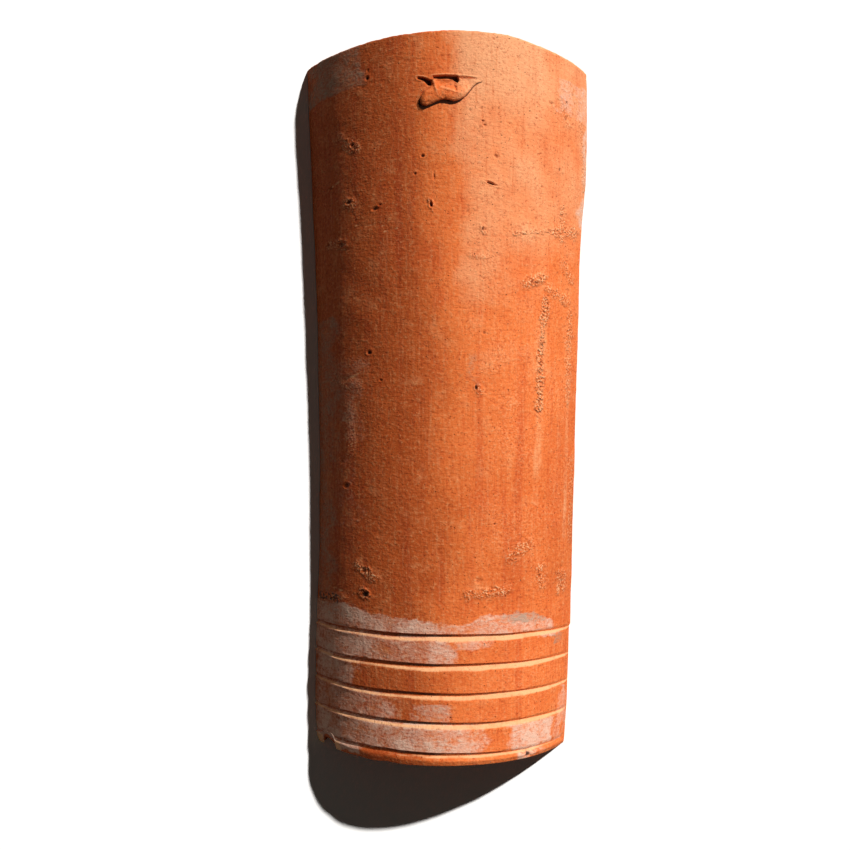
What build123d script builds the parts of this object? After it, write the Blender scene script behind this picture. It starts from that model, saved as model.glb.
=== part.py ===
from build123d import *
import math
import os

# A canal roof tile of fired clay, lying on its two long feet with its round back up.
# Millimetres. +Y runs along the tile to its wide end, +X is to the right, +Z is up.
# The origin is on the floor, midway between the two ends and between the two feet.

# The arch. Its arc has one axis from end to end, which lies under the floor.
length = 500.0
wide_width = 210.0
middle_width = 191.0
narrow_width = 182.0
axis_drop = 41.0
wall = 12.0
rim_radius = 2.0

# The cross grooves, counted from the narrow end. Each is steep on the side of the wide end
# and deepest on the crest, and it has almost run out where it reaches the feet.
groove_count = 5
first_groove = 8.0
groove_pitch = 19.8
groove_depth = 2.4
groove_foot_depth = 0.4
groove_floor = 1.2
groove_steep_run = 0.8
groove_gentle_run = 3.2

# The two flanks are trimmed flat beside the grooves
trim_depth = 1.3
trim_height = 9.5

# The nib, pushed up out of the back near the wide end. Its two lobes are turned to the narrow end.
nib_from_end = 31.0
nib_left = 22.5
nib_right = 20.7
nib_left_lobe = 22.5
nib_right_lobe = 18.5
nib_notch = 16.5
nib_height = 3.6
nib_lip = 0.6
nib_root = 3.0

# The slot that the clay of the nib came out of. It runs in under the nib's straight edge.
slot_left = 12.8
slot_right = 16.2
slot_width = 2.6
slot_depth = 4.5
slot_undercut = 2.5


def outer_radius(width):
    """The radius of the arc that is this wide at the floor."""
    return math.hypot(width / 2, axis_drop)


narrow_radius = outer_radius(narrow_width)
middle_radius = outer_radius(middle_width)
wide_radius = outer_radius(wide_width)


def radius_at(y):
    """The outer radius at the place y, on the parabola through its three stated values."""
    t = y / (length / 2)
    bow = (wide_radius + narrow_radius) / 2 - middle_radius
    return middle_radius + t * (wide_radius - narrow_radius) / 2 + t * t * bow


def half_width_at(y):
    """Half the width at the floor at the place y."""
    return math.sqrt(radius_at(y) ** 2 - axis_drop**2)


def flare(inward):
    """The poles of that parabola, for the surface that lies this far inward of the back."""
    pull = 2 * middle_radius - (narrow_radius + wide_radius) / 2
    return (
        (-length / 2, narrow_radius - inward),
        (0, pull - inward),
        (length / 2, wide_radius - inward),
    )


def axis_at(drop):
    """The line along the tile that lies this far under the floor."""
    return Axis((0, 0, -drop), (0, 1, 0))


def lean(angle, drop):
    """The plane through that line, leaning by an angle from upright to +X. It holds (along, out)."""
    turn = math.radians(angle)
    return Plane(origin=(0, 0, -drop), x_dir=(0, 1, 0), z_dir=(math.cos(turn), 0, -math.sin(turn)))


nib_y = length / 2 - nib_from_end
nib_arc = radius_at(nib_y)
nib_edge = nib_arc + nib_lip
nib_top = nib_arc + nib_height
nib_foot = nib_arc - nib_root
nib_end = nib_y - nib_left_lobe - nib_root
nib_reach = math.degrees(math.asin((max(nib_left, nib_right) + nib_root) / nib_arc))

# The clay of the nib: a band round the arch whose back climbs from the slot to the lobes
with BuildPart() as nib_clay:
    with BuildSketch(lean(-nib_reach, axis_drop)):
        with BuildLine():
            Polyline(
                (nib_y + slot_undercut, nib_foot),
                (nib_y, nib_edge),
                (nib_y - nib_notch, nib_top),
                (nib_end, nib_top),
                (nib_end, nib_foot),
                close=True,
            )
        make_face()
    revolve(axis=axis_at(axis_drop), revolution_arc=2 * nib_reach)
    # Seen from above it has two rounded lobes and runs out to a point at the right
    with BuildSketch(Plane.XY.offset(nib_arc - axis_drop - wall)):
        with BuildLine():
            Line((nib_right, nib_y), (-nib_left, nib_y))
            Spline(
                (-nib_left, nib_y),
                (-nib_left, nib_y - nib_left_lobe * 0.62),
                (-nib_left * 0.8, nib_y - nib_left_lobe),
                (-nib_left * 0.17, nib_y - nib_notch),
                (nib_right * 0.17, nib_y - nib_right_lobe),
                (nib_right * 0.57, nib_y - nib_right_lobe * 0.62),
                (nib_right, nib_y),
            )
        make_face()
    extrude(amount=wall + 2 * nib_height, mode=Mode.INTERSECT)

# What is trimmed off the flanks: it follows the narrowing feet from the last groove to the end,
# and it runs out up the back at its stated height
groove_places = [-length / 2 + first_groove + k * groove_pitch for k in range(groove_count)]
trim_from = groove_places[-1]
trim_to = -length / 2 - rim_radius
trim_top = math.sqrt(narrow_radius**2 - (axis_drop + trim_height) ** 2)
trim_lean = narrow_width / 2 - trim_depth - trim_top

with BuildPart() as flank_trim:
    for y in (trim_from, trim_to):
        foot = half_width_at(y) - trim_depth
        with BuildSketch(Plane.XZ.offset(-y)):
            with BuildLine():
                Polyline(
                    (foot + trim_lean, -trim_height),
                    (foot - 2 * trim_lean, 2 * trim_height),
                    (foot + 2 * wall, 2 * trim_height),
                    (foot + 2 * wall, -trim_height),
                    close=True,
                )
            make_face()
    loft(ruled=True)
    mirror(about=Plane.YZ)

with BuildPart() as canal_tile:
    # The section along the tile: a wall of one thickness with rubbed rims, flared to the wide end
    with BuildSketch(lean(-90, axis_drop)):
        with BuildLine():
            Bezier(*flare(0))
            Line((length / 2, wide_radius), (length / 2, wide_radius - wall))
            Bezier(*reversed(flare(wall)))
            Line((-length / 2, narrow_radius - wall), (-length / 2, narrow_radius))
        make_face()
        fillet(vertices(), radius=rim_radius)
    # Turned half round its axis it is the arch, and the floor cuts it off level at its feet
    revolve(axis=axis_at(axis_drop), revolution_arc=180)
    split(bisect_by=Plane.XY, keep=Keep.TOP)

    # The grooves are rings with a lower axis than the arch's, so they run out down the flanks
    for y in groove_places:
        radius = radius_at(y)
        lower = (groove_depth - groove_foot_depth) / (1 - axis_drop / radius)
        floor = radius + lower - groove_depth
        mouth = radius + lower + groove_depth
        with BuildSketch(lean(-90, axis_drop + lower)):
            with BuildLine():
                Polyline(
                    (y + groove_floor / 2 + 2 * groove_steep_run, mouth),
                    (y + groove_floor / 2, floor),
                    (y - groove_floor / 2, floor),
                    (y - groove_floor / 2 - 2 * groove_gentle_run, mouth),
                    close=True,
                )
            make_face()
        revolve(axis=axis_at(axis_drop + lower), revolution_arc=180, mode=Mode.SUBTRACT)
    add(flank_trim.part, mode=Mode.SUBTRACT)

    # The nib, and the slot behind it
    add(nib_clay.part)
    slot_from = -math.degrees(math.asin(slot_left / nib_arc))
    slot_to = math.degrees(math.asin(slot_right / nib_arc))
    with BuildSketch(lean(slot_from, axis_drop)):
        with BuildLine():
            Polyline(
                (nib_y, nib_top),
                (nib_y, nib_edge),
                (nib_y - slot_undercut, nib_arc - slot_depth),
                (nib_y - slot_undercut + slot_width, nib_arc - slot_depth),
                (nib_y + slot_width, nib_arc),
                (nib_y + slot_width, nib_top),
                close=True,
            )
        make_face()
    revolve(axis=axis_at(axis_drop), revolution_arc=slot_to - slot_from, mode=Mode.SUBTRACT)

canal_tile.part.label = "canal_tile"
os.makedirs("parts", exist_ok=True)
export_step(canal_tile.part, "parts/canal_tile.step")
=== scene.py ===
import math
import random

import bpy
import numpy as np
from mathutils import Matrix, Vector, noise


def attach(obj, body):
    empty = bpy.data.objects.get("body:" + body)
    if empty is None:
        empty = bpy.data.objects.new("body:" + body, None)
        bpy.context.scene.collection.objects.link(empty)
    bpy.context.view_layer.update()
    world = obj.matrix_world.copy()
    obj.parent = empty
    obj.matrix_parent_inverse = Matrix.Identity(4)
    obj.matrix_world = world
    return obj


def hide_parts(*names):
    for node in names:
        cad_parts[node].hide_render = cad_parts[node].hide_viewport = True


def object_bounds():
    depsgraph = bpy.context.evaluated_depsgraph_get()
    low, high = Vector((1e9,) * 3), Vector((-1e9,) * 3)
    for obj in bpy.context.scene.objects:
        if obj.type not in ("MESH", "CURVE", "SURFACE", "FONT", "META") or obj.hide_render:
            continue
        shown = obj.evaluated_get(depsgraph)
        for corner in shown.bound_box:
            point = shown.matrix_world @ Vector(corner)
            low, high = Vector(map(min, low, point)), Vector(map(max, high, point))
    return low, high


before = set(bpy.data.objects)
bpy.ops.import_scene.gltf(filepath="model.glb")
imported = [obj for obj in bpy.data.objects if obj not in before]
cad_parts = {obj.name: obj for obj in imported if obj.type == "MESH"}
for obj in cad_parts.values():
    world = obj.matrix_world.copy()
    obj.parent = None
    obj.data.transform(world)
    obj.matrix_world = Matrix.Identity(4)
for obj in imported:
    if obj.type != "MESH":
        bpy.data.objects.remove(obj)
cad_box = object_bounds()

# ---- The clay sheet over its former ----
# A canal tile starts as a flat tapered sheet of pressed clay. It is laid over a round former,
# trimmed level along both feet, and rubbed round at its rims. Its wall is one thickness.
MM = 0.001
LENGTH, WALL = 500.0, 12.0
END = LENGTH / 2
WIDE, MIDDLE, NARROW = 210.0, 191.0, 182.0
AXIS_DROP = 41.0
END_RUB, FOOT_RUB = 2.0, 0.8
GROOVE_COUNT, FIRST_GROOVE, GROOVE_PITCH = 5, 8.0, 19.8
GROOVES = [-END + FIRST_GROOVE + GROOVE_PITCH * k for k in range(GROOVE_COUNT)]
COMB_RULING = (-3.8, -2.2, -0.6, 0.6, 1.4)
SHEET_COLUMNS, ROW_GAP, ROW_SLACK = 69, 2.75, 0.3
SAME_PLACE = 0.01

WIDE_RADIUS, MIDDLE_RADIUS, NARROW_RADIUS = (
    math.hypot(width / 2, AXIS_DROP) for width in (WIDE, MIDDLE, NARROW)
)


def back_radius(y):
    """Radius of the back about its axis at the place y along the tile, in mm."""
    t = y / END
    bow = (WIDE_RADIUS + NARROW_RADIUS) / 2 - MIDDLE_RADIUS
    return MIDDLE_RADIUS + t * (WIDE_RADIUS - NARROW_RADIUS) / 2 + t * t * bow


def lay_over(turn, y, inward):
    """The point on the former for a part of the sheet: turn runs from -1 to 1, foot to foot."""
    radius = back_radius(y) - inward
    angle = turn * math.acos(AXIS_DROP / radius)
    return Vector((radius * math.sin(angle), y, radius * math.cos(angle) - AXIS_DROP)) * MM


# The sheet is ruled close together where the comb will cut, and evenly elsewhere
ruled = sorted([-END, END] + [place + step for place in GROOVES for step in COMB_RULING])
rows = []
for low, high in zip(ruled, ruled[1:]):
    pieces = math.ceil((high - low) / ROW_GAP - ROW_SLACK)
    rows += [low + (high - low) * k / pieces for k in range(pieces)]
rows.append(END)
last_row = len(rows) - 1

bpy.ops.object.select_all(action="DESELECT")
bpy.ops.mesh.primitive_grid_add(x_subdivisions=SHEET_COLUMNS, y_subdivisions=last_row, size=2)
tile = bpy.context.object
tile.name = tile.data.name = "weathered_tile"
sheet = [(v.co.x, round((v.co.y + 1) / 2 * last_row)) for v in tile.data.vertices]
for v, (turn, row) in zip(tile.data.vertices, sheet):
    v.co = lay_over(turn, rows[row], 0)


def finish_with(kind, **settings):
    """Adds a modifier to the tile and applies it."""
    modifier = tile.modifiers.new("work", kind)
    for name, value in settings.items():
        setattr(modifier, name, value)
    bpy.ops.object.modifier_apply(modifier=modifier.name)


# The wall: the sheet gets its thickness, and its hollow side is pressed true to the former
finish_with("SOLIDIFY", thickness=WALL * MM, offset=-1, use_rim=True)
for v, (turn, row) in zip(tile.data.vertices[len(sheet):], sheet):
    v.co = lay_over(turn, rows[row], WALL)

# The rims are rubbed round: more across the two ends than along the feet. An edge that goes
# through the wall from the back to the hollow side stays as it is.
rub = tile.data.attributes.new("bevel_weight_edge", "FLOAT", "EDGE")
corner = tile.data.vertices
for edge in tile.data.edges:
    a, b = (corner[i].co / MM for i in edge.vertices)
    level = abs(a.y - b.y) < SAME_PLACE
    across = level and abs(abs(a.y) - END) < SAME_PLACE
    along = not level and max(a.z, b.z) < SAME_PLACE
    depth = [back_radius(p.y) - math.hypot(p.x, p.z + AXIS_DROP) for p in (a, b)]
    if abs(depth[0] - depth[1]) < 0.5:
        rub.data[edge.index].value = 1.0 if across else FOOT_RUB / END_RUB if along else 0.0
finish_with("BEVEL", width=END_RUB * MM, segments=3, limit_method="WEIGHT", offset_type="WIDTH")


def reading(mesh):
    """The mesh's points in mm, as an array."""
    co = np.zeros(len(mesh.vertices) * 3)
    mesh.vertices.foreach_get("co", co)
    return co.reshape(-1, 3) / MM


def depth_in_wall(places):
    """How far each place lies inward of the plain back, in mm."""
    return back_radius(places[:, 1]) - np.hypot(places[:, 0], places[:, 2] + AXIS_DROP)


def divide(chosen, cuts):
    """Divides the tile's faces that chosen picks by their centres, given in mm."""
    mesh = tile.data
    centres = np.zeros(len(mesh.polygons) * 3)
    mesh.polygons.foreach_get("center", centres)
    pick = chosen(centres.reshape(-1, 3) / MM)
    bpy.ops.object.mode_set(mode="EDIT")
    bpy.ops.mesh.select_mode(type="FACE")
    bpy.ops.mesh.select_all(action="DESELECT")
    bpy.ops.object.mode_set(mode="OBJECT")
    mesh.polygons.foreach_set("select", pick)
    bpy.ops.object.mode_set(mode="EDIT")
    bpy.ops.mesh.subdivide(number_cuts=cuts)
    bpy.ops.object.mode_set(mode="OBJECT")


# Everything but the hollow side is divided once
divide(lambda c: depth_in_wall(c) < WALL - 1.0, 1)

# ---- What the hand and the yard did to it ----
# Pits where grit and straw burnt out, slashes and scuffs from stacking, and the lime and soot
# of a roof, with shade painted dark into the grooves and hollows. Each mark is (x, y, half across,
# half along, turn in degrees, depth), in mm.
MARKS = [
    (-57.0, 223.5, 1.5, 1.7, 0, 1.1), (-56.6, 229.0, 0.9, 1.6, 0, 0.6),
    (-18.5, 165.7, 1.5, 1.4, 0, 1.2), (-23.6, 153.8, 1.2, 1.2, 0, 1.0),
    (-10.7, 151.8, 0.7, 3.6, 4, 0.7), (-12.7, 132.4, 1.2, 2.5, 8, 2.2),
    (28.7, 147.6, 4.4, 1.0, -18, 1.9), (77.9, 165.4, 0.8, 1.7, 0, 1.0), (22.9, 116.3, 1.0, 1.8, 0, 1.0),
    (-67.9, 179.8, 1.6, 1.2, 30, 0.9), (-72.7, 183.2, 1.3, 1.0, 0, 0.7),
    (-66.0, 176.6, 1.2, 1.0, 0, 0.6), (-70.6, 140.0, 2.0, 1.4, 20, 1.0),
    (-51.4, 132.3, 2.6, 1.5, 25, 1.0), (-48.0, 134.5, 1.2, 1.0, 0, 0.8),
    (-84.5, 153.3, 1.6, 1.2, 0, 0.7), (-76.5, 111.1, 3.4, 2.2, 10, 0.8),
    (-87.3, 113.0, 1.2, 1.8, 0, 0.7), (31.5, 166.9, 1.8, 1.3, 0, 0.7), (36.0, 168.0, 1.0, 0.8, 0, 0.5),
    (22.6, 190.1, 1.5, 0.8, 0, 1.0), (23.5, 187.4, 1.2, 0.7, 0, 0.8), (41.2, 190.1, 1.0, 0.8, 0, 0.8),
    (60.5, 197.0, 1.2, 0.8, 0, 0.8), (84.5, 215.8, 1.2, 0.8, 0, 1.0), (72.1, 210.5, 3.0, 1.6, 20, 0.6),
    (62.5, 172.2, 2.4, 0.9, 35, 0.6), (64.5, 149.8, 1.4, 1.0, 0, 0.6), (61.7, 82.3, 3.2, 1.1, 10, 0.8),
    (57.0, 80.0, 1.5, 1.0, 0, 0.7), (-55.6, 32.6, 1.7, 1.7, 0, 1.2), (-46.9, 13.0, 1.2, 1.0, 0, 0.8),
    (18.6, 7.4, 1.0, 2.6, 6, 1.3), (24.0, 45.2, 1.2, 1.6, 20, 0.8), (-71.2, -60.4, 2.4, 1.9, 0, 0.9),
    (32.1, -86.2, 1.3, 1.0, 0, 0.9), (21.7, -124.5, 2.6, 2.4, 0, 0.6),
    (28.7, -132.9, 2.0, 0.8, 10, 0.6), (65.4, -123.6, 1.8, 1.0, 30, 0.7),
    (83.1, -129.5, 1.4, 1.4, 0, 0.8), (-57.2, -119.5, 3.0, 2.0, 20, 0.6),
    (-56.1, -136.1, 2.6, 2.6, 0, 1.5), (-58.5, -133.8, 2.4, 0.8, 30, 0.8),
    (-53.4, -138.2, 2.4, 0.8, 40, 0.8), (-86.0, -144.6, 2.6, 1.3, 5, 0.9),
    (-79.0, -143.0, 3.0, 1.0, 10, 0.8), (50.9, -105.0, 1.6, 1.0, 0, 0.6),
]
RIM_PIT = (59.5, -246.0, 2.3, 3.0, 10, 1.6)
# Long torn drags from a neighbour in the stack: (x from, y from, x to, y to, half width, depth)
DRAGS = [
    (68.6, 74.0, 65.4, 40.0, 2.2, 0.55), (65.4, 40.0, 63.4, -12.0, 2.7, 0.7),
    (64.2, 100.0, 68.4, 74.0, 1.0, 0.3), (86.4, 106.0, 87.8, 60.0, 1.3, 0.5),
    (87.8, 48.0, 86.1, 4.0, 1.2, 0.45), (14.7, 197.1, 7.9, 171.6, 0.6, 0.35),
    (46.0, 113.6, 84.0, 121.0, 1.3, 0.45), (-33.1, 96.0, -22.7, 100.9, 0.7, 0.4),
    (81.5, 138.0, 82.8, 112.0, 1.6, 0.45), (22.0, 228.4, 36.0, 230.4, 0.6, 0.35),
    (-83.6, 76.0, -60.7, 71.9, 0.5, 0.25), (-68.0, 168.0, -60.0, 146.0, 0.6, 0.3),
]
DEEP_DRAG, BROAD_DRAG = 0.45, 2.0
NIB_LEFT, NIB_RIGHT, NIB_LOW, NIB_HIGH = -26.0, 25.0, 193.0, 224.0


def from_line(x, y, x0, y0, x1, y1):
    """Distance of the places (x, y) from the line between two points, in mm."""
    ex, ey = x1 - x0, y1 - y0
    t = np.clip(((x - x0) * ex + (y - y0) * ey) / (ex ** 2 + ey ** 2), 0, 1)
    return np.hypot(x - x0 - t * ex, y - y0 - t * ey)


def near_marks(c):
    """Which face centres need a finer mesh: those on the back, at the nib and at the marks."""
    x, y = c[:, 0], c[:, 1]
    near = (x > NIB_LEFT) & (x < NIB_RIGHT) & (y > NIB_LOW) & (y < NIB_HIGH)
    for mark_x, mark_y, across, along, *_ in MARKS:
        near |= np.hypot(x - mark_x, y - mark_y) < max(across, along) * 1.3 + 0.8
    for *line, half, deep in DRAGS:
        if deep >= DEEP_DRAG:
            near |= from_line(x, y, *line) < half + 0.8
    return (depth_in_wall(c) < 0.5) & near


divide(near_marks, 2)

points = reading(tile.data)
X, Y = points[:, 0].copy(), points[:, 1].copy()
axis_angle = np.arctan2(points[:, 0], points[:, 2] + AXIS_DROP)
wall_depth = depth_in_wall(points)


def ease(t):
    """A smooth step from 0 to 1."""
    t = np.clip(t, 0, 1)
    return t * t * (3 - 2 * t)


def ramp(value, start, full):
    """Rises smoothly from 0 where value is at start to 1 where it is at full."""
    return ease((value - start) / (full - start))


def hump(value, middle, width):
    """A smooth rise and fall about the middle, with 1 on top."""
    return np.exp(-((value - middle) / width) ** 2)


def read_off(places, table):
    """Reads a table of (place, amount) at every one of the places, straight between its rows."""
    return np.interp(places, *zip(*table))


def mottle(scale, seed, octaves):
    """Seeded noise over the tile from about -1 to 1, with patches about scale mm wide."""
    shift = Vector((seed * 17.3, seed * 5.1, seed * 9.7))
    fall_off, finer = 0.9, 2.0
    return np.array([
        noise.fractal(Vector(p / scale) + shift, fall_off, finer, octaves) for p in points
    ])


on_back = ramp(wall_depth, 3.0, 0.0)
soft = mottle(70, 1, octaves=3)
patches = mottle(22, 2, octaves=4)
grit = mottle(5, 3, octaves=3)
crumbs = mottle(2.2, 5, octaves=2)

# Amounts are built up over the points: how far the skin rises, how far it is pushed ahead along
# the tile, its dirt with painted shade, and its wear with painted highlights
rise = soft * 0.45 + patches * 0.2 + grit * 0.08
dirt_and_shade = np.clip(grit * 0.25, 0, 1)
groove_shade, rubbed_and_highlight, ahead = (np.zeros(len(points)) for k in range(3))

# The grooves, combed across the back: steep to the wide end and gentle to the narrow end. The comb
# is held level, so it cuts deepest on the crest. It only grazes the clay at the right foot, and at
# the left foot it digs in more the farther it is from the end. The gentle wall is painted pale as a
# highlight, and the floor under the steep wall is painted dark as shade.
CREST_CUT, RIGHT_FOOT_CUT = 2.4, 0.4
LEFT_FOOT_CUTS = (0.5, 0.8, 1.0, 1.1, 1.15)
CUT_FLOOR, STEEP_SLOPE, GENTLE_SLOPE = 0.6, 3.0, 0.75
# How wide the painted highlight on each gentle wall is, across the tile
HIGHLIGHT_WIDTH = ((-92, 1.4), (-62, 1.3), (-42, 1.5), (-15, 2.4), (10, 3.1), (60, 3.4), (92, 2.0))
RIM_GROOVE_SHADE, MEAN_RADIUS = 1.4, 104.0
arc = axis_angle * MEAN_RADIUS
foot_cos = AXIS_DROP / back_radius(Y)
highlight_width = read_off(X, HIGHLIGHT_WIDTH)
for place, left_foot_cut in zip(GROOVES, LEFT_FOOT_CUTS):
    foot_cut = RIGHT_FOOT_CUT + (left_foot_cut - RIGHT_FOOT_CUT) * ramp(X, 0, -60)
    cut = CREST_CUT - (CREST_CUT - foot_cut) * (1 - np.cos(axis_angle)) / (1 - foot_cos)
    cut = np.clip(cut, 0.05, None) * (1 + 0.12 * patches)
    off = Y - place
    steep = cut - np.clip(off - CUT_FLOOR, 0, None) * STEEP_SLOPE
    gentle = cut - np.clip(-CUT_FLOOR - off, 0, None) * GENTLE_SLOPE
    here = np.clip(np.minimum(steep, gentle), 0, None)
    rise -= here
    lip = -CUT_FLOOR - cut / GENTLE_SLOPE
    rise += 0.45 * hump(off, lip - 0.2, 0.8) * ramp(X, -52, -66)
    # Painted highlight on the gentle wall; on the last groove it starts 1.4 mm in from the lip
    pale_from = lip + (RIM_GROOVE_SHADE if place == GROOVES[0] else 0.0)
    pale_to = np.minimum(lip + highlight_width, 0.1)
    pale = ramp(off, pale_to + 0.3, pale_to - 0.3) * ramp(off, pale_from - 0.6, pale_from + 0.5)
    rubbed_and_highlight = np.maximum(rubbed_and_highlight, pale * ramp(cut, 0, 0.4) * ramp(Y, -247.0, -246.2))
    # Painted shade on the groove floor, where the steep wall's shadow falls
    shade = ramp(here, 0, 0.5) * ramp(off, pale_to, pale_to + 0.7) * (off < 1.5)
    groove_shade = np.maximum(groove_shade, shade)
    wander = 0.3 * np.sin(arc / 31.0 + place) + 0.15 * np.sin(arc / 11.0 + 2 * place)
    ahead += wander * hump(off, -1.2, 5.0)
rubbed_and_highlight *= 0.85 + 0.2 * patches + 0.15 * grit
# The painted groove shade goes into the dark layer, weaker at the left foot and the right flank
dirt_and_shade = np.maximum(dirt_and_shade, groove_shade * (0.55 + 0.35 * ramp(X, -60, -10) - 0.25 * ramp(X, 30, 70)))

# The narrow rim falls away below the last groove. Both rims are rubbed pale: the wide one at its
# right, the narrow one on both sides of the chip at its left.
rise -= 1.2 * ramp(Y, -245.8, -249.3)
wide_rim = 0.55 * ramp(Y, 247.2, 248.8) * ramp(X, 8, 28) * (1 + 0.6 * grit)
beside_chip = ramp(X, -85, -86.5) + ramp(X, -77, -75) * ramp(X, -70, -74)
rubbed_and_highlight = np.maximum(rubbed_and_highlight, np.maximum(wide_rim, ramp(Y, -243, -245) * beside_chip))


def seen_from(x, y, turn):
    """The tile's points as seen from a mark at (x, y), turned by an angle in degrees."""
    c, s = math.cos(math.radians(turn)), math.sin(math.radians(turn))
    return (X - x) * c + (Y - y) * s, (Y - y) * c - (X - x) * s


# The larger marks, each a ragged dent with a slight burr
for x, y, across, along, turn, deep in MARKS + [RIM_PIT]:
    u, v = seen_from(x, y, turn)
    r = np.hypot(u / across, v / along) * (1 + 0.25 * grit)
    rise -= deep * ramp(r, 1.15, 0.15)
    rise += 0.2 * deep * hump(r, 1.35, 0.25)
    # Painted darker inside the dent
    dirt_and_shade = np.maximum(dirt_and_shade, ramp(r, 1.3, 0.3) * min(1.0, deep / 1.2))

# The drags: the skin is torn up in crumbs, and in slanted ticks where the drag is broad
for *line, half, deep in DRAGS:
    away = from_line(X, Y, *line) / half
    ticks = np.sin((Y + 0.7 * X) * 2.1 + 2.5 * grit + 3 * patches) * ease(1.1 - 0.6 * away + crumbs)
    ragged = 0.9 * ticks + 1.1 * crumbs if half > BROAD_DRAG else 2.0 * crumbs
    torn = ramp(away, 1.2, 0.2) * np.clip(ragged + 0.8 * grit, -0.9, 1.1)
    rise -= 0.95 * deep * torn + 0.3 * deep * ramp(away, 1.5, 0.5)
    # Painted darker where the skin is torn
    dirt_and_shade = np.maximum(dirt_and_shade, np.clip(torn, 0, 1) * 0.5)

# Scuffed strips, where the skin of the clay is broken:
# (x from, y from, x to, y to, half width, amount)
SCUFFS = [
    (81.7, 139.4, 81.0, 116.2, 2.8, 0.8), (45.9, 114.6, 94.9, 125.7, 1.8, 0.7),
    (75.1, 119.2, 89.9, 124.6, 4.2, 0.8), (82.8, 100.9, 90.2, 89.7, 2.8, 0.7),
    (53.4, 81.3, 67.2, 86.5, 3.5, 0.9), (71.2, 78.6, 86.6, 72.8, 4.2, 0.8),
    (88.5, 66.0, 88.7, 49.2, 2.8, 0.8), (69.6, 71.3, 65.8, 49.6, 2.8, 1.0),
    (65.8, 49.6, 64.2, 33.9, 2.8, 1.0), (64.2, 33.9, 63.6, -5.6, 2.8, 1.0),
    (87.8, 45.4, 86.2, 1.4, 2.8, 0.6), (14.8, -133.2, 40.7, -132.1, 3.5, 0.8),
    (45.8, -108.2, 56.2, -100.4, 4.2, 0.7), (65.4, -117.9, 66.2, -130.7, 3.5, 0.8),
    (83.1, -125.1, 83.1, -134.6, 4.2, 0.8), (-61.6, -116.4, -51.5, -123.3, 3.5, 0.8),
    (-57.9, -133.6, -53.6, -138.1, 2.8, 0.9), (-89.2, -146.5, -72.8, -141.0, 2.8, 0.6),
    (80.2, 215.9, 84.7, 199.8, 3.5, 0.5), (14.2, 98.0, 26.8, 96.5, 2.1, 0.5),
    (21.8, 116.8, 23.9, 114.2, 2.1, 0.6), (-70.2, -3.6, -69.3, -35.5, 3.5, 0.45),
    (-78.7, 14.8, -62.0, 9.5, 4.2, 0.4), (-85.3, 113.2, -73.4, 109.7, 2.8, 0.6),
    (-77.3, 185.9, -65.3, 175.7, 3.5, 0.6), (-73.5, 140.2, -68.2, 137.0, 2.8, 0.6),
    (96.0, 206.0, 99.8, 159.8, 2.1, 0.6), (-13.2, 135.5, -11.9, 128.6, 2.1, 0.4),
    (20.0, 7.1, 21.4, 4.3, 2.1, 0.6), (91.0, -40.0, 90.0, -100.0, 2.4, 0.5),
]
scuffed = np.clip(0.06 + 0.14 * soft + 0.14 * patches, 0, 1) * ramp(X, 5, 35)
for *line, half, amount in SCUFFS:
    away = from_line(X, Y, *line) / half + 0.7 * grit + 0.5 * patches
    broken_skin = amount * ramp(away, 1.5, 0.5)
    scuffed = np.maximum(scuffed, 0.85 * broken_skin)
    rise += 0.16 * broken_skin * (0.5 + 3 * crumbs)

# Thin pale scratches on the left half: (x from, y from, x to, y to)
SCRATCHES = [
    (-86.9, 115.8, -83.6, 110.6), (-80.4, 108.4, -69.6, 106.2), (-69.6, 70.8, -59.2, 73.8),
    (-80.3, 17.1, -62.0, 14.4), (-77.1, 13.3, -62.0, 18.6), (-86.1, 153.0, -78.9, 155.8),
    (-34.5, 94.7, -22.7, 100.3), (-65.2, 122.4, -45.0, 119.7), (-45.0, 115.5, -35.2, 117.4),
    (-72.7, 176.1, -66.0, 177.3), (-73.2, -14.1, -67.9, -15.0), (-82.4, -133.3, -72.8, -135.3),
]
for line in SCRATCHES:
    away = from_line(X, Y, *line)
    rubbed_and_highlight = np.maximum(rubbed_and_highlight, (0.55 + 0.6 * grit) * hump(away, 0, 0.8))
    rise -= 0.2 * hump(away, 0, 0.9)

# The drags go on below as pale rubbed bands: (x from, y from, x to, y to, half width, amount)
BANDS = [
    (67.5, 72.0, 61.0, -72.0, 3.0, 0.37), (88.0, 46.0, 84.5, -98.0, 1.8, 0.44),
    (78.0, 50.0, 76.0, -20.0, 1.2, 0.25),
]
for *line, half, amount in BANDS:
    away = from_line(X, Y, *line) / half + 0.3 * grit
    rubbed_and_highlight = np.maximum(rubbed_and_highlight, amount * (1 + 0.5 * patches) * ramp(away, 1.6, 0.6))

# Small pores: first all over, with every third on the right flank, then more beside the crest
PORES, CREST_PORES = 260, 70
pores = random.Random(41)
for k in range(PORES + CREST_PORES):
    if k < PORES:
        y = pores.uniform(-150, 245)
        x = pores.uniform(-92, 92) if k % 3 else pores.uniform(20, 90)
    else:
        y = pores.uniform(90, 205)
        x = pores.uniform(10, 62)
    size, deep = pores.uniform(0.8, 1.7), pores.uniform(0.25, 0.7)
    r = np.hypot(X - x, Y - y) / size
    rise -= deep * ramp(r, 1.2, 0.2)
    # Painted darker inside the pore
    dirt_and_shade = np.maximum(dirt_and_shade, 0.6 * ramp(r, 1.3, 0.3))

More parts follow.
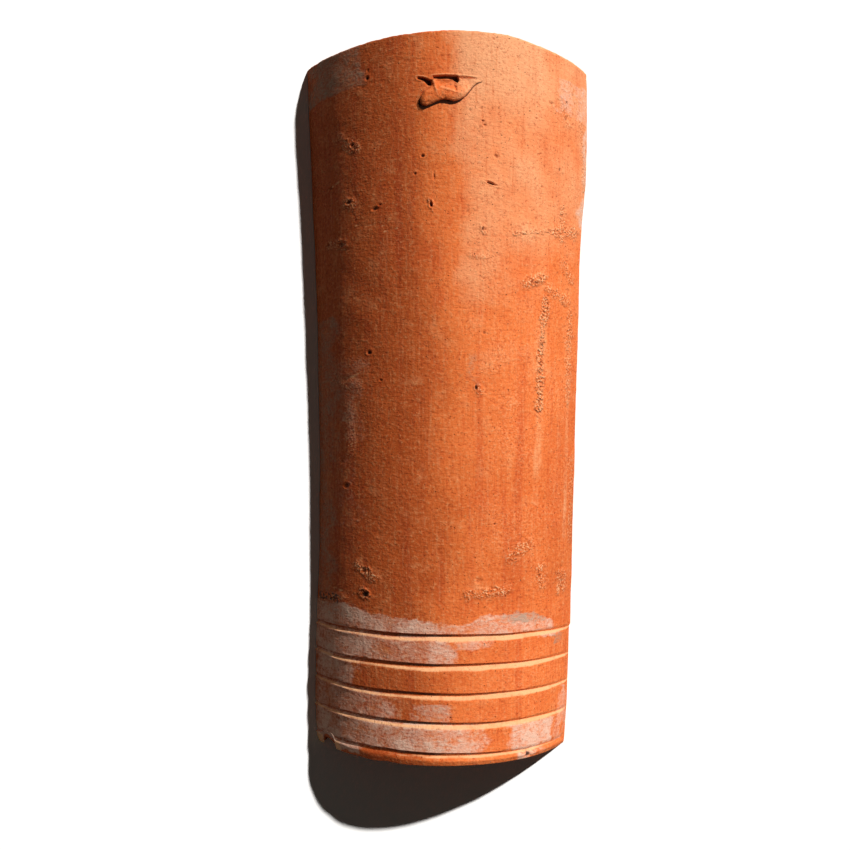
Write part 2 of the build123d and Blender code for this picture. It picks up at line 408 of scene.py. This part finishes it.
# ---- The nib ----
# Before firing, a tool pushed clay up out of the back towards the narrow end. It stands in two
# lobes with a ridge between them, and its straight edge hangs over the slot it came out of.
NIB_RIM = [
    (-13.1, 212.4), (-16.4, 210.0), (-19.0, 207.0), (-20.0, 204.0), (-19.6, 201.5), (-18.3, 200.0),
    (-15.8, 199.4), (-12.2, 200.7), (-8.8, 202.2), (-6.0, 203.2), (-3.4, 203.4), (-0.4, 202.9),
    (2.8, 202.3), (6.0, 203.1), (9.0, 204.7), (11.3, 207.0), (13.2, 209.6), (15.2, 212.2),
    (17.2, 214.2), (19.4, 215.5), (21.5, 216.4), (18.5, 217.3), (12.5, 217.4), (8.0, 217.2),
    (1.6, 217.3), (-6.6, 217.5), (-10.9, 217.9), (-12.2, 216.0),
]


def inside(outline):
    """Signed distance in mm from every point of the back to a closed outline, more than 0 inside."""
    never_zero = 1e-12
    best, within = np.full(len(X), np.inf), np.zeros(len(X), bool)
    for (x0, y0), (x1, y1) in zip(outline, outline[1:] + outline[:1]):
        best = np.minimum(best, from_line(X, Y, x0, y0, x1, y1))
        crossing = (x1 - x0) * (Y - y0) / (y1 - y0 + never_zero) + x0
        within ^= ((y0 > Y) != (y1 > Y)) & (X < crossing)
    return np.where(within, best, -best)


def ridge(x0, y0, x1, y1, half):
    """How near every point is to a line, from 0 to 1."""
    return hump(from_line(X, Y, x0, y0, x1, y1), 0, half)


# The lobes climb from the slot to their rim, with ridges and hollows on top:
# (x from, y from, x to, y to, half width, height)
NIB_FORMS = (
    (-11.0, 216.5, -8.1, 205.8, 0.8, 0.8), (-16.2, 212.0, -17.0, 207.9, 0.7, 0.45),
    (-6.2, 211.2, 3.1, 208.0, 1.0, 0.6), (-5.0, 214.0, 2.0, 213.0, 2.2, -0.8),
    (3.8, 211.6, 3.8, 208.4, 0.6, -1.0),
)
NIB_LEAST, NIB_MOST = 0.5, 3.45
nib_depth = inside(NIB_RIM)
nib_top = 0.8 + 2.5 * ramp(Y, 217.6, 206.6)
nib_top -= 1.5 * ramp(X, 8, 19)
for *line, height in NIB_FORMS:
    nib_top += height * ridge(*line)
nib_top += grit * 0.35 + crumbs * 0.25 + patches * 0.2
nib_top -= hump(nib_depth, 0, 1.4) * (Y < 214)
nib_here = ramp(nib_depth, -0.15, 0.35)
rise *= 1 - 0.8 * ramp(nib_depth, -3, 0)
rise += nib_here * np.clip(nib_top, NIB_LEAST, NIB_MOST)
nib_bulge = nib_here * hump(nib_depth, 0.4, 0.7) * ramp(Y, 213, 210)

# Painted shadow: the shadow that the lobes cast below and to the left of them is painted dark
shadow_reach = inside([(x - 1.7, y - 2.5) for x, y in NIB_RIM])
nib_shadow = ramp(shadow_reach, -0.25, 0.25) * ramp(nib_depth, 0.28, -0.12)
dirt_and_shade = np.maximum(dirt_and_shade, nib_shadow * ramp(Y, 209.5, 207.5) * ramp(X, 12, 10))

# The slot, the thin slot that runs on from it and the notch, each painted dark inside as shade:
# (outline, depth, edge width, how dark the painted shade is)
SLOT = [
    (-11.6, 219.6), (-3.2, 219.9), (5.0, 219.7), (6.4, 217.4), (5.4, 214.4), (3.7, 215.6), (1.0, 217.1),
    (-6.6, 217.5), (-11.0, 217.7),
]
THIN_SLOT = [(4.9, 219.4), (12.0, 219.2), (18.2, 218.5), (12.0, 217.8), (4.9, 217.4)]
NOTCH = [
    (-22.2, 219.6), (-18.2, 219.0), (-12.6, 216.6), (-12.6, 213.2), (-15.0, 213.4), (-17.8, 216.4),
    (-22.2, 218.4),
]
for outline, deep, edge, slot_shade in (
    (SLOT, 4.3, 0.8, 1.0), (THIN_SLOT, 1.0, 0.6, 0.15), (NOTCH, 2.8, 0.9, 1.0)
):
    slot_depth = inside(outline)
    rise -= deep * ramp(slot_depth, -0.25 * edge, 0.75 * edge)
    dirt_and_shade = np.maximum(dirt_and_shade, ramp(slot_depth, -0.6 * edge, 0.4 * edge) * slot_shade)
    rise += 0.3 * hump(slot_depth, -0.7, 0.5) * (Y > 216)
    # A painted highlight along each upper rim
    rubbed_and_highlight = np.maximum(rubbed_and_highlight, 0.6 * hump(slot_depth, -1.0, 0.55) * (Y > 218.6))

# The fold that runs out to the right of the nib, painted dark along its crease as shade, and the
# ridges and edges of the lobes, painted pale as highlights, with a patch of pale clay at the left:
# (x from, y from, x to, y to, half width, how pale)
FOLD = [(10.9, 206.0), (14.1, 210.2), (16.3, 213.0), (18.6, 214.9), (21.9, 216.4)]
RIDGE_HIGHLIGHTS = (
    (-11.0, 216.5, -8.1, 205.8, 0.9, 0.5), (-5.5, 211.4, 3.1, 208.4, 1.6, 0.55),
    (-16.6, 211.5, -18.4, 207.5, 0.9, 0.4), (9.8, 207.3, 15.6, 214.2, 0.8, 0.6),
    (-20.5, 214.0, -19.5, 210.0, 2.0, 0.35), (6.5, 215.5, 11.0, 210.0, 2.0, 0.45),
)
for start, stop in zip(FOLD, FOLD[1:]):
    crease = ridge(*start, *stop, 0.55)
    rise -= 0.35 * crease
    dirt_and_shade = np.maximum(dirt_and_shade, crease)
# A painted shade line along the lower edge of the thin slot
dirt_and_shade = np.maximum(dirt_and_shade, 0.9 * ridge(6.0, 217.4, 18.6, 217.9, 0.4))
for *line, how_pale in RIDGE_HIGHLIGHTS:
    rubbed_and_highlight = np.maximum(rubbed_and_highlight, how_pale * ridge(*line))

# ---- Out of true ----
# Set down while soft, the tile drifted to the left at its narrow end, its wide end was cut by
# hand, and its corners have since been knocked. Tables are (place, how much is gone), in mm.
WIDE_CUT = (
    (-105, 0.9), (-95, 2.1), (-82, 3.1), (-66, 2.7), (-50, 1.9), (-33, 1.2), (-21, 0.8), (-12, 0.3),
    (-4, 0.0), (41, 0.0), (46, 0.6), (54, 1.6), (68, 3.0), (85, 3.7), (97, 3.8), (105, 2.4),
)
NARROW_CUT = (
    (-105, 1.0), (-88, 1.4), (-76, 1.6), (-66, 1.0), (-57, 1.1), (-48, 0.1), (-39, 1.0), (-30, 0.1),
    (105, 0.0),
)
DRIFT, DRIFT_FROM = 3.4, 60.0
CHIP_DEPTH = 5.5
wide_cut = read_off(X, WIDE_CUT) + 0.6 * np.abs(grit)
chipped = CHIP_DEPTH * ramp(X, -86.5, -84.7) * ramp(X, -75.5, -78)
ahead -= 0.4 * nib_bulge
ahead -= wide_cut * ramp(Y, 225, END)
ahead += (read_off(X, NARROW_CUT) + chipped) * ramp(Y, -236, -248)

# All of the sheet but its ends shrank a little towards the middle, and the comb was held askew
ahead -= 0.0035 * (Y + 39) * ramp(np.abs(Y), END, END - 12)
askew = 0.5 - 0.018 * X - 0.9 * ramp(Y, -225, -240)
ahead += askew * ramp(Y, -END, 7 - END) * ramp(Y, -135, -150)

# The two feet wander in and out: (place along the tile, how far outwards)
RIGHT_FOOT = (
    (-250, 0.3), (-244, 0.6), (-222, 1.7), (-184, 1.9), (-147, 1.8), (-110, 1.6), (-72, 1.4), (2, 1.2),
    (40, 0.9), (77, 0.8), (106, 0.7), (136, 1.1), (150, 2.0), (166, 2.8), (188, 2.6), (205, 2.3),
    (230, 1.5), (246, 0.1), (250, 0.0),
)
LEFT_FOOT = (
    (-250, 0.3), (-244, 0.7), (-222, 2.3), (-184, 2.3), (-147, 1.4), (-130, 0.6), (-110, 0.0),
    (-35, -0.6), (2, -0.6), (40, -1.0), (77, -0.9), (113, -1.0), (150, -0.3), (188, 0.0), (250, 0.0),
)

radius = back_radius(Y) - wall_depth + rise * on_back
points[:, 0] = radius * np.sin(axis_angle)
points[:, 2] = radius * np.cos(axis_angle) - AXIS_DROP
points[:, 1] = Y + ahead

# The right flank is trimmed flat beside the grooves, up to an arris
FLANK_TRIM, TRIM_LEAN = 1.3, 0.37
beside = ramp(Y, GROOVES[-1] + 1.0, GROOVES[-1] - 0.5)
half_width = np.sqrt(back_radius(Y) ** 2 - AXIS_DROP ** 2)
limit = half_width - FLANK_TRIM * beside - TRIM_LEAN * np.clip(points[:, 2], 0, None)
past = (points[:, 0] > limit) & (beside > 0) & (wall_depth < 3)
points[past, 0] = limit[past]
drift = DRIFT * np.clip((DRIFT_FROM - Y) / (DRIFT_FROM + END), 0, 1) ** 2
points[:, 0] -= drift + 0.3 * nib_bulge
outwards = np.where(X > 0, read_off(Y, RIGHT_FOOT), -read_off(Y, LEFT_FOOT))
points[:, 0] += outwards * np.clip(X / half_width, -1, 1) ** 2

# The hollow side keeps the grain of the sand that the former was dusted with
FOOT_KEPT_FLAT = 1.5
sand = (patches * 0.25 + grit * 0.18) * ramp(wall_depth, 9, 12)
points[:, 0] -= sand * np.sin(axis_angle)
points[:, 2] -= sand * np.cos(axis_angle) * (points[:, 2] > FOOT_KEPT_FLAT)

# Corners knocked off the rims: (x, y, z, radius) of the scoops. A fresh break is paler.
KNOCKS = (
    (58.0, -252.2, 45.5, 4.6), (-2.0, -253.5, 61.0, 4.2), (-70.0, 252.0, 52.0, 4.0),
    (92.0, 252.2, 27.0, 4.5), (62.0, 253.0, 56.0, 4.0),
)
for *middle, r in KNOCKS:
    gap = points - middle
    span = np.linalg.norm(gap, axis=1)
    hit = span < r
    rubbed_and_highlight = np.maximum(rubbed_and_highlight, 0.8 * hump(span, r + 0.3, 0.7))
    points[hit] = middle + gap[hit] / span[hit, None] * r

low, high = (np.array(extreme) / MM for extreme in cad_box)
points = np.clip(points, low, high)
tile.data.vertices.foreach_set("co", (points * MM).ravel())
tile.data.update()

# ---- Weather ----
# What the roof left on the clay, painted as amounts on the mesh: lime haze, grey lichen, dirt
# and painted shade in the hollows, and the pale bloom of the firing with the painted shade of the
# left half, then the wear with the painted highlights, and what is scuffed.


def patch(x0, x1, y0, y1, amount, blur=8.0):
    """A ragged patch of haze on the back. Its sides fade over blur mm, its ends over 2 mm."""
    x, y = X + 7 * patches + 3 * grit, Y + 1.5 * patches + grit
    fade = blur / 2
    wide = ramp(x, x0 - fade, x0 + fade) * ramp(x, x1 + fade, x1 - fade)
    tall = ramp(y, y0 - 1, y0 + 1) * ramp(y, y1 + 1, y1 - 1)
    return amount * wide * tall


# The haze reaches up to this edge, and the grooves part its patches: g[0] is the groove
# farthest from the narrow end. Each patch is (x from, x to, y from, y to, amount, blur).
HAZE_EDGE = (
    (-90, -144), (-72, -144), (-54, -148), (-30, -150), (-5, -153), (14, -153), (24, -147), (36, -146),
    (62, -147), (72, -151), (80, -158),
)
g = GROOVES[::-1]
LIME = (
    (-96, -37, g[1], g[0], 0.62), (-40, 8, g[1], g[0], 0.5), (-16, 8, g[1], g[0], 0.62, 12),
    (8, 32, g[0] - 9, g[0], 0.5), (-96, -60, g[2], g[1], 0.6), (-96, -38, g[3], g[2], 0.55),
    (-60, -30, g[3], g[2], 0.35), (-24, 7, g[3], g[3] + 13, 0.55, 9), (-96, 30, g[4], g[3], 0.6),
    (-96, -40, g[4], g[3], 0.65), (-30, 24, g[4], g[4] + 9, 0.75), (40, 79, g[4], g[3] - 2, 0.8),
    (-28, 8, g[3] - 4, g[3], 0.95), (-96, -54, g[4] - 6, g[4], 0.8), (50, 70, g[4] - 8, g[4], 0.7),
    (66, 84, g[0] - 4, g[0], 0.7), (-100, -62, -60, 70, 0.2, 12), (-78, -55, -30, 30, 0.32),
    (-80, -62, -90, -40, 0.3), (78, 106, 206, 232, 0.5), (97, 107, 130, 236, 0.6),
    (80, 92, g[4], g[2] - 2, 0.55),
)
GREY = (
    (78, 85, -173, -165, 0.9), (-24, 7, g[3] + 1, g[3] + 13, 0.42), (-100, -60, 218, 252, 0.72),
    (14, 22, 8, 32, 0.5), (18, 25, 158, 166, 0.5), (-96, -60, -156, -144, 0.45),
    (-100, -78, -140, 60, 0.58, 14), (-88, -72, -60, -10, 0.3, 14), (-90, -60, -16, 28, 0.45, 10),
)
under_edge = read_off(X, HAZE_EDGE) + 2.6 * patches + 1.6 * grit - Y
lime = 0.66 * ramp(under_edge, 0, 2.5) * ramp(Y, g[0] + 0.5, g[0] + 1.5) * ramp(X, 80, 74)
grey = 0.72 * ramp(under_edge, 0, 2.0) * ramp(X + 3 * patches, 22, 48)
grey *= ramp(X, 76, 68) * ramp(Y + 3 * grit, -157, -155)
for box in LIME:
    lime = np.maximum(lime, patch(*box))
for box in GREY:
    grey = np.maximum(grey, patch(*box))
dirt_and_shade = np.maximum(dirt_and_shade, patch(-94, -72, -147, -139, 1.0) * np.clip(0.5 + 2 * crumbs, 0, 1))

# Painted shade and light: the left half is painted darker, as the side in shade, and the right half
# paler, as the lit side. Along the tile it is palest at the wide end, from the firing.
BLOOM = (
    (-250, 0.62), (-150, 0.58), (-125, 0.36), (-62, 0.42), (0, 0.58), (75, 0.66), (118, 0.8),
    (168, 0.9), (215, 1.0), (250, 1.0),
)
upper = ramp(Y, 110, 190)
to_right = ease((X + 31 + 4 * patches + 3 * grit + 12 * upper) / (50 + 14 * upper))
bloom_and_shade = to_right * read_off(Y, BLOOM) - 0.06 * ramp(X, 60, 80)
bloom_and_shade = np.clip(bloom_and_shade + (0.09 * soft + 0.06 * patches) * (0.4 + to_right), 0, 1)
for name, channels in (
    ("weather_and_shade", (lime, grey, dirt_and_shade, bloom_and_shade)),
    ("wear_and_highlight", (rubbed_and_highlight, scuffed, scuffed, scuffed)),
):
    paint = tile.data.color_attributes.new(name, "FLOAT_COLOR", "POINT")
    amounts = np.stack([np.clip(a * (0.35 + 0.65 * on_back), 0, 1) for a in channels], 1)
    paint.data.foreach_set("color", amounts.astype(np.float32).ravel())

bpy.ops.object.select_all(action="DESELECT")
tile.select_set(True)
bpy.context.view_layer.objects.active = tile
bpy.ops.object.shade_smooth_by_angle(angle=math.radians(60))

# ---- Fired terracotta ----
# Red earthenware pressed, dusted and fired without glaze. It is matt and dry to the eye, with a
# mottle from the kiln, drag lines along it, dark grit, and lime and soot that settled on it. Its
# colour also holds painted light: a darker left half, pale highlights and dark shade.


def linear(hex_colour):
    """An sRGB hex colour as linear RGBA."""
    parts = [int(hex_colour[i:i + 2], 16) / 255 for i in (1, 3, 5)]
    return tuple(c / 12.92 if c <= 0.04045 else ((c + 0.055) / 1.055) ** 2.4 for c in parts) + (1.0,)


def add_node(tree, kind, inputs=None, out=0, **settings):
    """Adds a node with its settings and links, and gives one of its outputs.

    Each input is a value, or the output of another node that feeds it.
    """
    made = tree.nodes.new("ShaderNode" + kind)
    for name, value in settings.items():
        setattr(made, name, value)
    for name, value in (inputs or {}).items():
        if isinstance(value, bpy.types.NodeSocket):
            tree.links.new(value, made.inputs[name])
        else:
            made.inputs[name].default_value = value
    return made.outputs[out] if made.outputs else made


clay = bpy.data.materials.new("fired_terracotta")
clay.use_nodes = True
tree = clay.node_tree
tree.nodes.clear()
place = add_node(tree, "TexCoord", out="Object")
weather_and_shade = add_node(tree, "Attribute", attribute_name="weather_and_shade", out="Color")
bloom_and_shade_amount = weather_and_shade.node.outputs["Alpha"]
lime_amount, grey_amount, dirt_and_shade_amount = add_node(tree, "SeparateColor", {"Color": weather_and_shade}).node.outputs
wear_and_highlight = add_node(tree, "Attribute", attribute_name="wear_and_highlight", out="Color")
wear_and_highlight_amount, scuffed_amount, _ = add_node(tree, "SeparateColor", {"Color": wear_and_highlight}).node.outputs

# Eight patterns, each (where, size in mm, detail, roughness). Kiln mottle is 60 mm wide, clay
# clouds 15 mm, grain 2.2 mm and the flecks of broken skin 1.4 mm. Grit is really 0.3 mm and is
# drawn at 1.5 mm to show. Drag lines 1.6 mm and streaks 9 mm wide run along, ripples across.
along_it = add_node(tree, "Mapping", {"Vector": place, "Scale": (1.0, 0.04, 1.0)})
across_it = add_node(tree, "Mapping", {"Vector": place, "Scale": (0.3, 1.0, 0.3)})
kiln, cloud, grain, fleck, grit_spots, drag_lines, streaks, ripple = (
    add_node(tree, "TexNoise", {
        "Vector": where, "Scale": 1 / (size * MM), "Detail": detail, "Roughness": rough,
    })
    for where, size, detail, rough in (
        (place, 60, 3.0, 0.55), (place, 15, 5.0, 0.6), (place, 2.2, 4.0, 0.65),
        (place, 1.4, 2.0, 0.5), (place, 1.5, 2.0, 0.5),
        (along_it, 1.6, 3.0, 0.6), (along_it, 9, 3.0, 0.6), (across_it, 1.5, 3.0, 0.6),
    )
)

# The clay's colour, from the painted shade of the left half to the palest bloom
CLAY_COLOURS_WITH_SHADE = ((0.0, "#C0561B"), (0.36, "#E67231"), (0.66, "#F67F3D"), (1.0, "#FFAE7B"))
colour = add_node(tree, "ValToRGB", {"Fac": bloom_and_shade_amount})
stops = colour.node.color_ramp.elements
for position, hue in CLAY_COLOURS_WITH_SHADE[1:-1]:
    stops.new(position)
for stop, (position, hue) in zip(stops, CLAY_COLOURS_WITH_SHADE):
    stop.position, stop.color = position, linear(hue)

# What lies over it, layer by layer: (pattern, where it starts, where it is full, strength,
# colour, blend)
for pattern, start, full, strength, hue, blend in (
    (kiln, 0.45, 0.72, 0.3, "#EFD0B8", "MULTIPLY"),
    (streaks, 0.50, 0.72, 0.4, "#DCA88C", "MULTIPLY"),
    (cloud, 0.52, 0.78, 0.36, "#E6B894", "MULTIPLY"),
    (cloud, 0.46, 0.25, 0.22, "#FFB47C", "MIX"),
    (drag_lines, 0.55, 0.72, 0.5, "#E2BC9C", "MULTIPLY"),
    (drag_lines, 0.48, 0.30, 0.12, "#FFC08A", "MIX"),
    (grain, 0.50, 0.74, 0.27, "#FFC488", "MIX"),
    (grain, 0.47, 0.28, 0.62, "#BC7E58", "MULTIPLY"),
    (grit_spots, 0.70, 0.78, 0.65, "#5A2C18", "MIX"),
    (fleck, 0.52, 0.64, scuffed_amount, "#FFC896", "MIX"),
    (fleck, 0.45, 0.35, scuffed_amount, "#7A3414", "MIX"),
):
    amount = add_node(tree, "MapRange", {
        "Value": pattern, "From Min": start, "From Max": full, "To Max": strength,
    }, interpolation_type="SMOOTHSTEP")
    colour = add_node(tree, "Mix", {0: amount, 6: colour, 7: linear(hue)}, out=2,
                      data_type="RGBA", blend_type=blend)

# Lime haze, thin and pinkish where the clay shows through, and grey lichen. Both break up into
# dots 1 to 2 mm wide, as do the wear and the painted highlights. Then the dirt and the painted shade
# in the hollows.
patchy = add_node(tree, "Math", {0: cloud, 1: 1.7, 2: -2.05}, operation="MULTIPLY_ADD")
rippled = add_node(tree, "Math", {0: ripple, 1: 1.0, 2: patchy}, operation="MULTIPLY_ADD")
broken = add_node(tree, "Math", {0: grain, 1: 1.4, 2: rippled}, operation="MULTIPLY_ADD")
thin_lime, thin_grey, broken_wear_and_highlight = (
    add_node(tree, "Math", {0: broken, 1: how_broken, 2: amount}, operation="MULTIPLY_ADD")
    for how_broken, amount in (
        (lime_amount, lime_amount), (grey_amount, grey_amount), (0.2, wear_and_highlight_amount),
    )
)
for amount, start, full, strength, hue in (
    (thin_lime, 0.22, 1.0, 0.8, "#F0CCB6"),
    (thin_grey, 0.22, 1.1, 0.75, "#9A8B78"),
    (broken_wear_and_highlight, 0.2, 0.95, 0.85, "#FFC08A"),
    (dirt_and_shade_amount, 0.3, 1.0, 0.94, "#35180C"),
):
    cover = add_node(tree, "MapRange", {
        "Value": amount, "From Min": start, "From Max": full, "To Max": strength,
    }, interpolation_type="SMOOTHSTEP")
    colour = add_node(tree, "Mix", {0: cover, 6: colour, 7: linear(hue)}, out=2, data_type="RGBA")

# Surface: grain, ripples, drag lines and pits too fine to model, up to 0.6 mm high, and the
# broken skin of the scuffs, up to 1.5 mm
BUMP_UNIT = 0.9 * MM
pits = add_node(tree, "MapRange", {"Value": grit_spots, "From Min": 0.67, "From Max": 0.77},
                interpolation_type="SMOOTHSTEP")
torn_skin = add_node(tree, "Math", {0: fleck, 1: scuffed_amount}, operation="MULTIPLY")
relief = 0.0
for pattern, height in (
    (grain, 0.6), (drag_lines, 0.12), (ripple, 0.45), (pits, -0.7), (torn_skin, 2.2)
):
    relief = add_node(tree, "Math", {0: pattern, 1: height, 2: relief}, operation="MULTIPLY_ADD")
normal = add_node(tree, "Bump", {"Height": relief, "Strength": 1.0, "Distance": BUMP_UNIT})
skin = add_node(tree, "BsdfPrincipled", {
    "Base Color": colour, "Normal": normal,
    "Roughness": 0.88, "IOR": 1.5, "Specular IOR Level": 0.35,
})
add_node(tree, "OutputMaterial", {"Surface": skin})
tile.data.materials.clear()
tile.data.materials.append(clay)

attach(tile, "root")
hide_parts("canal_tile")

# ---- Floor ----
# A plain pale floor. To the camera it is white where the key light falls on it, and it keeps
# the tile's shadow. It throws back less light on the tile, as a worn grey floor would.
FLOOR_SHOWN, FLOOR_THROWS = (1.8, 1.8, 1.8, 1), (0.30, 0.28, 0.26, 1)
bpy.ops.mesh.primitive_plane_add(size=12.0, location=(0, 0, 0))
floor = bpy.context.object
floor.name = "studio_floor"
bpy.ops.object.mode_set(mode="EDIT")
bpy.ops.mesh.select_all(action="SELECT")
bpy.ops.mesh.subdivide(number_cuts=3)
bpy.ops.object.mode_set(mode="OBJECT")
pale_paint = bpy.data.materials.new("pale_floor_paint")
pale_paint.use_nodes = True
tree = pale_paint.node_tree
tree.nodes.clear()
ray = add_node(tree, "LightPath").node.outputs
mirrored = add_node(tree, "Math", {0: ray["Is Glossy Ray"], 1: ray["Is Transmission Ray"]},
                    operation="MAXIMUM")
seen = add_node(tree, "Math", {0: ray["Is Camera Ray"], 1: mirrored}, operation="MAXIMUM")
lit = add_node(tree, "BsdfDiffuse", {"Color": FLOOR_THROWS})
shown = add_node(tree, "BsdfDiffuse", {"Color": FLOOR_SHOWN})
mixed = add_node(tree, "MixShader", {0: seen, 1: lit, 2: shown})
add_node(tree, "OutputMaterial", {"Surface": mixed})
floor.data.materials.append(pale_paint)

# ---- Light ----
# One key light from the upper right, as in the photograph. A broad panel at the right models the
# round of the tile and a weak one at the upper left opens its shade. Both panels light the tile
# only, so the floor keeps one clean shadow.
only_tile = bpy.data.collections.new("panels_light_this")
only_tile.objects.link(tile)
for name, light_from, energy, angle, hue in (
    ("key_light", (0.89, 1.12, 1.0), 3.25, 1.6, (1.0, 0.98, 0.95)),
    ("side_panel", (0.7, 0.1, 0.7), 1.1, 40, (1.0, 0.97, 0.93)),
    ("left_panel", (-0.9, 0.6, 0.8), 0.16, 60, (1.0, 0.9, 0.8)),
):
    aim = Vector(light_from)
    bpy.ops.object.light_add(type="SUN", location=aim * 2)
    lamp = bpy.context.object
    lamp.name = name
    lamp.rotation_euler = aim.to_track_quat("Z", "Y").to_euler()
    lamp.data.energy = energy
    lamp.data.angle = math.radians(angle)
    lamp.data.color = hue
    if name != "key_light":
        lamp.light_linking.receiver_collection = only_tile

# A weak even fill, and plain white behind the floor
world = bpy.data.worlds.new("even_fill")
bpy.context.scene.world = world
world.use_nodes = True
tree = world.node_tree
tree.nodes.clear()
camera_ray = add_node(tree, "LightPath", out="Is Camera Ray")
fill = add_node(tree, "Background", {"Color": (1.0, 0.88, 0.76, 1), "Strength": 0.015})
white = add_node(tree, "Background", {"Color": (1, 1, 1, 1), "Strength": 1.0})
mixed = add_node(tree, "MixShader", {0: camera_ray, 1: fill, 2: white})
add_node(tree, "OutputWorld", {"Surface": mixed})

# ---- Camera ----
# Looking almost straight down from 746 mm, from a little to the left of the tile's middle and
# towards its narrow end. Its lens gives a focal length of 1005.5 pixels in a picture of 850.
SENSOR, FOCAL_PIXELS, PICTURE_PIXELS = 36.0, 1005.5, 850
bpy.ops.object.camera_add(
    location=(-0.02059, -0.03909, 0.74577), rotation=(0.03016, -0.00637, 0.00234)
)
camera = bpy.context.object
camera.data.sensor_width = SENSOR
camera.data.lens = SENSOR * FOCAL_PIXELS / PICTURE_PIXELS
camera.data.clip_start = 0.01
bpy.context.scene.camera = camera

bpy.context.scene.view_settings.view_transform = "Standard"
bpy.context.view_layer.update()
